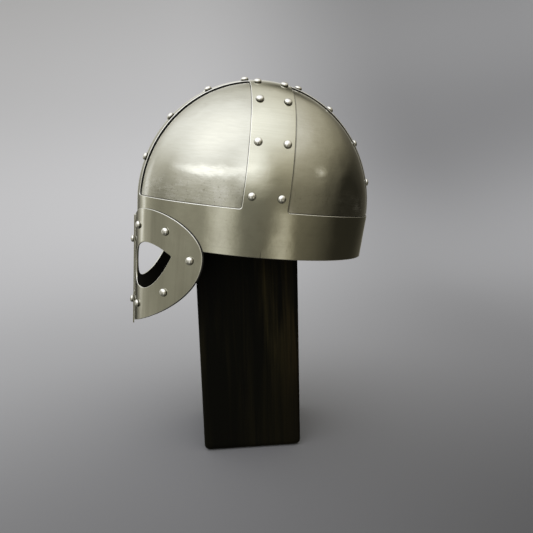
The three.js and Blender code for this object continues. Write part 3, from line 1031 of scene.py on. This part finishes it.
def brushed_iron(name, sizes, colours):
    """Satin iron in the colour of its name: brushed grain, cloudy tarnish, dull patches and hammer waves.

    Seams beside the bands are darkened for the width that the look gives, as painted shade of the gaps there
    and as dirt. Scuffs are pale scratches that run level round the helmet, low on the dome, with small dark
    pits between them.
    """
    brush, roughness, unevenness, streak, shade_and_dirt_width, scuffs = IRON_LOOKS[name]
    colour, tarnish = getattr(colours, name), colours.tarnish
    shader = Shader(bpy.data.materials.new(name))
    own = upright(shader, sizes)
    grain = shader.noise(upright(shader, sizes, brush), *GRAIN)
    marks = (CLOUDS, PATCHES, WAVES, DIMPLES, PITS)
    clouds, patches, waves, dimples, pits = (shader.noise(own, *mark) for mark in marks)
    streaks = shader.noise(upright(shader, sizes, [part * STREAK_SCALE for part in brush]), *STREAKS)
    stain = clouds.ramp(0.45, 0.75) * patches.ramp(0.3, 0.75, 0.3, 1.0) * STAIN_SHARE
    base = shader.mix(stain, colour, tarnish)
    dark_lines = grain.ramp(0.35, 0.75) * GRAIN_SHARE + streaks.ramp(0.38, 0.7) * streak
    base = shader.mix(dark_lines, base, tarnish)
    rough = roughness + (grain - 0.5) * GRAIN_ROUGH + (patches - 0.5) * PATCH_ROUGH
    rough = rough + (streaks - 0.5) * streak + stain * STAIN_ROUGH
    height = waves + dimples * DIMPLE_HEIGHT
    pitted = pits.ramp(0.66, 0.76) * clouds.ramp(0.4, 0.6)
    if scuffs:
        low = shader.parts(own)[2].ramp(sizes.brow_height + scuffs, sizes.brow_height + scuffs * 0.4)
        lines = shader.noise(upright(shader, sizes, SCRATCH_SCALES), *SCRATCHES)
        worn = low * clouds.ramp(0.35, 0.6) * (lines.ramp(0.35, 0.7) * 0.6 + patches.ramp(0.42, 0.68) * 0.5)
        base = shader.mix(worn * SCRATCH_SHARE, base, BARE)
        rough = rough + worn * SCRATCH_ROUGH
        pitted = pitted + pits.ramp(0.58, 0.70) * low
    # Painted shade of the gaps beside the bands, with dirt, mixed in as near black.
    if shade_and_dirt_width:
        shade_dirt_share = seam_shade_and_dirt(shader, sizes, shade_and_dirt_width) * patches.ramp(0.2, 0.6, 0.5, 0.95)
        base = shader.mix(shade_dirt_share, base, SHADE_AND_DIRT_BLACK)
    base = shader.mix(pitted * PIT_SHARE, base, tarnish)
    slow = shader.bump(height, unevenness)
    fine = shader.bump(grain - pitted, GRAIN_HEIGHT, 1.0, slow)
    return shader.finish(Base_Color=base, Roughness=rough, Metallic=1.0, Normal=fine)


BARE = (0.86, 0.85, 0.80)
# Near black: painted shade and dirt in the seams, painted shade round the rivets' feet, and the rivets' tails.
SHADE_AND_DIRT_BLACK = (0.02, 0.018, 0.014)
GRAIN_HEIGHT = 0.000008
DIMPLE_HEIGHT = 0.12  # as a share of the waves' height
# How strongly each mark shows in the colour and in the roughness.
STAIN_SHARE, GRAIN_SHARE, SCRATCH_SHARE, PIT_SHARE = 0.4, 0.08, 0.35, 0.45
STAIN_ROUGH, GRAIN_ROUGH, SCRATCH_ROUGH, PATCH_ROUGH = 0.10, 0.08, 0.22, 0.14


def bare_edge(colour):
    """Bright filed metal along the edges of a sheet."""
    shader = Shader(bpy.data.materials.new("bare_edge"))
    filed = shader.noise(shader.place(), *FILE_MARKS)
    rough = 0.30 + (filed - 0.5) * 0.2
    return shader.finish(Base_Color=colour, Roughness=rough, Metallic=1.0, Normal=shader.bump(filed, 0.00003))


def black_paint(colour):
    """Dull black paint on the inside, with a brushed-on unevenness.

    It also serves as painted shade on the walls of some edges and round the rivets' feet.
    """
    shader = Shader(bpy.data.materials.new("dull_black"))
    strokes = shader.noise(shader.place(), *BRUSH_STROKES)
    rough = 0.55 + (strokes - 0.5) * 0.2
    return shader.finish(Base_Color=colour, Roughness=rough, Normal=shader.bump(strokes, 0.0002, 0.4))


# Scale, detail and roughness of the noise in the edges and in the paint.
FILE_MARKS, BRUSH_STROKES = (700.0, 3.0, 0.6), (160.0, 4.0, 0.6)


def stained_wood(dark, light, warm):
    """Nearly black stained timber: faint growth rings up the post, warmer in places, with fine pores.

    The rings and the slower noises are stretched up the post and mirrored in Y.
    """
    shader = Shader(bpy.data.materials.new("stained_wood"))
    marks = (WARMTH, RINGS, BROAD_RINGS, PORES, WEAR)
    lean, rings, broad, pores, worn = (shader.noise(shader.place(scales), *mark) for scales, *mark in marks)
    _, y, z = shader.parts(shader.place())
    upper = z.ramp(0.04, 0.17, 0.2, 1.0) * y.ramp(-0.05, 0.01, 0.5, 1.1)
    share = rings.ramp(0.36, 0.70) * broad.ramp(0.30, 0.60) * pores.ramp(0.3, 0.7, 0.5, 1.0) * upper
    streak = shader.mix(lean.ramp(0.5, 0.72), light, warm)
    base = shader.mix(share, dark, streak)
    rough = 0.55 + (pores - 0.5) * 0.2 + (worn - 0.5) * 0.15
    normal = shader.bump(rings * 0.5 + pores, 0.0002, 0.6)
    return shader.finish(Base_Color=base, Roughness=rough, Specular_IOR_Level=0.07, Normal=normal)


# Scales of the coordinates, then scale, detail, roughness and distortion of the noise, for the wood's warmer
# places, growth rings, broad rings, pores and wear.
WARMTH = ((1, -1, 0.3), 7.0, 1.0, 0.4)
RINGS = ((110, -110, 5), 1.0, 3.0, 0.55, 0.6)
BROAD_RINGS = ((1, -1, 0.25), 19.0, 2.0, 0.5)
PORES = ((900, 900, 14), 1.0, 3.0, 0.6)
WEAR = ((1, 1, 1), 50.0, 4.0, 0.6)


def sweep_paint(pale, deep, foot):
    """Matt paint of the studio sweep, with painted shade slowly from pale far off towards -Y to deep near a
    foot point.

    The shade is a sum of smooth rises towards the foot point, along Y and up the wall. It fades out
    elsewhere, so that the sweep is pale on its other sides.
    """
    shader = Shader(bpy.data.materials.new("sweep_paint"))
    own = shader.place()
    x, y, z = shader.parts(own)
    away = shader.vector("LENGTH", shader.vector("SUBTRACT", own, (foot[0], foot[1], 0)))
    near = away.ramp(*FLOOR_SHADE) + away.ramp(*FOOT_SHADE)
    far_right = y.ramp(*FAR_SIDE_SHADE) * x.ramp(WALL_FOOT, WALL_BEND) * z.ramp(*SIDE_RISE)
    near_right = y.ramp(*NEAR_SIDE_SHADE) * x.ramp(WALL_BEND, WALL_FOOT)
    right = (near_right + far_right) * y.ramp(*SIDE_END)
    shade = (near + right) * x.ramp(*FRONT_END) + z.ramp(*WALL_SHADE)
    return shader.finish(Base_Color=shader.mix(shade, pale, deep), Roughness=0.95, Specular_IOR_Level=0.0)


# Where each rise of the sweep's shade begins and ends and, where given, what it goes from and to: with the
# distance from the foot point, along Y far behind the post and beside it, and up the wall.
FLOOR_SHADE, FOOT_SHADE = (2.97, -0.93, 0, 0.82), (0.87, 0.27, 0, 0.18)
FAR_SIDE_SHADE, NEAR_SIDE_SHADE = (-0.22, 0.8, 0, 0.56), (-0.1, 0.5, 0, 0.27)
SIDE_RISE, WALL_SHADE = (0.2, 0.9, 1, 0.75), (0.0, 0.6, 0, 0.15)
SIDE_END, FRONT_END = (2.2, 1.2), (0.8, 0.25)
WALL_FOOT, WALL_BEND = -0.6, -1.6  # where along X the floor gives way to the bend up to the wall


def studio_glow(world, stage):
    """Light of the studio from each direction: a dim room that brightens overhead, and soft panels in it.

    A panel adds its strength times a smooth fall from its middle to its edge, where the distance between a
    direction and the panel's own, divided by the panel's size along each axis, reaches one.
    """
    shader = Shader(world, "ShaderNodeBackground", "ShaderNodeOutputWorld")
    way = shader.node("ShaderNodeTexCoord", {}, "Generated")
    _, y, z = shader.parts(way)
    glow = z.ramp(*CEILING_RISE, stage.room_light, stage.room_light + stage.ceiling_light)
    for azimuth, height, strength, width, tall in SOFT_PANELS:
        azimuth, height = math.radians(azimuth), math.radians(height)
        aim = (math.cos(height) * math.cos(azimuth), math.cos(height) * math.sin(azimuth), math.sin(height))
        apart = shader.vector("SUBTRACT", way, aim)
        scaled = shader.vector("DIVIDE", apart, (width, width, tall))
        glow = glow + shader.vector("LENGTH", scaled).ramp(1, 0, 0, strength)
    room = shader.mix(y.ramp(*CORNER_RISE), stage.room_colour, stage.corner_colour)
    colour = shader.mix(glow.ramp(*PANEL_RISE), room, stage.light_colour)
    return shader.finish(Color=colour, Strength=glow.math("MAXIMUM", DARKEST) * stage.light_strength)


DARKEST = 0.014
# The heights, the places along Y and the glows between which the ceiling's light, the corner's colour and the
# panels' colour come in.
CEILING_RISE, CORNER_RISE, PANEL_RISE = (0.15, 1.7), (-0.1, 0.7), (0.05, 0.75)

# Azimuth from +X towards +Y and height, both in degrees, strength, half width and half height on the unit
# sphere. Those with a negative strength are dark flags.
SOFT_PANELS = (
    (-50, 42, 0.52, 1.25, 0.91),
    (2, 27, 0.34, 0.40, 0.48),
    (-130, 27, 0.34, 0.76, 0.97),
    (-38, 26.5, 0.57, 0.95, 0.085),
    (-24, -14, 0.31, 0.34, 0.95),
    (27, -19, 0.26, 0.26, 0.40),
    (45, 43, 0.16, 0.88, 1.35),
    (-60, -5, 0.10, 2.00, 0.49),
    (-127, 2, 0.30, 0.15, 0.45),
    (180, 8, 0.35, 0.55, 0.90),
    (67, 19, 0.35, 0.12, 0.06),
    (-105, -19, 0.12, 0.60, 0.24),
    (99, -7, -0.06, 1.31, 0.77),
    (60, -68, -0.05, 0.90, 0.60),
    (163, 38, -0.22, 0.35, 0.38),
    (-149, -8, -0.12, 0.34, 0.40),
)


# ---- operators ----


def nodes_named(start):
    """Names of the CAD nodes that begin with a word, in order."""
    return sorted(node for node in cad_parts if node.startswith(start))


class HELMET_OT_bands(bpy.types.Operator):
    """Build the brow band and the two bands over the dome"""

    bl_idname = "helmet.bands"
    bl_label = "Bands"

    def execute(self, context):
        sizes, colours = context.scene.helmet_sizes, context.scene.helmet_colours
        quarters = [band_quarter(sizes, side, end) for side in (1, -1) for end in (1, -1)]
        iron = brushed_iron("band_iron", sizes, colours)
        paint, edge = black_paint(colours.black_inside), bare_edge(colours.edge_iron)
        nodes = ["brow_and_cross_bands"]
        add_piece("iron_bands", stacked(quarters), [iron, paint, edge], nodes)
        return {"FINISHED"}


class HELMET_OT_plates(bpy.types.Operator):
    """Build the four curved plates of the dome"""

    bl_idname = "helmet.plates"
    bl_label = "Dome plates"

    def execute(self, context):
        sizes, colours = context.scene.helmet_sizes, context.scene.helmet_colours
        iron = brushed_iron("plate_iron", sizes, colours)
        paint = black_paint(colours.black_inside)
        for node in nodes_named("dome_plate_"):
            side = 1 if node.endswith("left") else -1
            end = 1 if "rear" in node else -1
            piece = node.replace("dome_plate", "raised_plate")
            add_piece(piece, dome_plate(sizes, side, end), [iron, paint], [node])
        return {"FINISHED"}


class HELMET_OT_guard(bpy.types.Operator):
    """Build the spectacle guard and its nose strip"""

    bl_idname = "helmet.guard"
    bl_label = "Spectacle guard"

    def execute(self, context):
        scene = context.scene
        sizes, guard, colours = scene.helmet_sizes, scene.guard_sizes, scene.helmet_colours
        iron = brushed_iron("guard_iron", sizes, colours)
        paint, edge = black_paint(colours.black_inside), bare_edge(colours.edge_iron)
        halves = stacked([guard_half(sizes, guard, side) for side in (1, -1)])
        add_piece("eye_guard", halves, [iron, paint, edge], ["spectacle_guard"])
        add_piece("nose_bar", nose_strip(sizes, guard), [iron], ["nose_strip"])
        return {"FINISHED"}


class HELMET_OT_rivets(bpy.types.Operator):
    """Build the rivets, one group for each row"""

    bl_idname = "helmet.rivets"
    bl_label = "Rivets"

    def execute(self, context):
        scene = context.scene
        sizes, rivets, colours = scene.helmet_sizes, scene.rivet_sizes, scene.helmet_colours
        iron = brushed_iron("rivet_iron", sizes, colours)
        # Black of the rivets' tails, and painted shade round the feet of their heads.
        rivet_shade_black = black_paint(SHADE_AND_DIRT_BLACK)
        layer = sizes.layer_gap + sizes.sheet
        draw = np.random.default_rng(RIVET_SEED)
        for word, face in (("keel", 0), ("side", 0), ("guard", layer), ("nose", 2 * layer)):
            nodes = nodes_named(word + "_rivet")
            solid = stacked([rivet(sizes, rivets, node, face, draw) for node in nodes])
            add_piece(word + "_rivet_row", solid, [iron, rivet_shade_black], nodes)
        return {"FINISHED"}


RIVET_SEED = 7


class HELMET_OT_post(bpy.types.Operator):
    """Build the wooden post"""

    bl_idname = "helmet.post"
    bl_label = "Post"

    def execute(self, context):
        sizes, colours = context.scene.helmet_sizes, context.scene.helmet_colours
        wood = stained_wood(colours.dark_wood, colours.grain, colours.warm_grain)
        add_piece("wooden_post", post_solid(sizes), [wood], ["display_post"])
        return {"FINISHED"}


class HELMET_OT_stage(bpy.types.Operator):
    """Build the sweep, the studio's glow and the camera"""

    bl_idname = "helmet.stage"
    bl_label = "Stage"

    def execute(self, context):
        scene = context.scene
        stage = scene.stage_settings
        points, faces = sweep(stage)
        mesh = bpy.data.meshes.new("studio_sweep")
        mesh.from_pydata(points, [], faces)
        # The sweep's painted shade is deepest near the camera's foot.
        mesh.materials.append(sweep_paint(stage.sweep_pale, stage.sweep_deep, stage.camera_place))
        mesh.shade_smooth()
        floor = bpy.data.objects.new("studio_sweep", mesh)
        scene.collection.objects.link(floor)
        floor.visible_glossy = floor.visible_diffuse = floor.visible_shadow = False
        scene.world = studio_glow(bpy.data.worlds.new("studio"), stage)
        scene.view_settings.view_transform = "Standard"
        add_camera(stage)
        return {"FINISHED"}


class HELMET_PT_panel(bpy.types.Panel):
    """Sizes, colours and the steps that build the helmet"""

    bl_label = "Spectacle Helmet"
    bl_space_type = "VIEW_3D"
    bl_region_type = "UI"
    bl_category = "Helmet"

    def draw(self, context):
        layout = self.layout
        for operator in OPERATORS:
            layout.operator(operator.bl_idname)
        for name in SETTINGS:
            group = getattr(context.scene, name)
            column = layout.column()
            for key in group.bl_rna.properties.keys():
                if key not in ("rna_type", "name"):
                    column.prop(group, key)


OPERATORS = (
    HELMET_OT_stage,
    HELMET_OT_bands,
    HELMET_OT_plates,
    HELMET_OT_guard,
    HELMET_OT_rivets,
    HELMET_OT_post,
)
SETTINGS = {
    "helmet_sizes": HelmetSizes,
    "guard_sizes": GuardSizes,
    "rivet_sizes": RivetSizes,
    "helmet_colours": FinishColours,
    "stage_settings": StageSettings,
}


def register():
    for kind in (*SETTINGS.values(), *OPERATORS, HELMET_PT_panel):
        bpy.utils.register_class(kind)
    for name, kind in SETTINGS.items():
        setattr(bpy.types.Scene, name, PointerProperty(type=kind))


def unregister():
    for name in SETTINGS:
        delattr(bpy.types.Scene, name)
    for kind in (HELMET_PT_panel, *reversed(OPERATORS), *reversed(SETTINGS.values())):
        bpy.utils.unregister_class(kind)


def main():
    register()
    for operator in OPERATORS:
        group, step = operator.bl_idname.split(".")
        getattr(getattr(bpy.ops, group), step)()


if __name__ == "__main__":
    main()
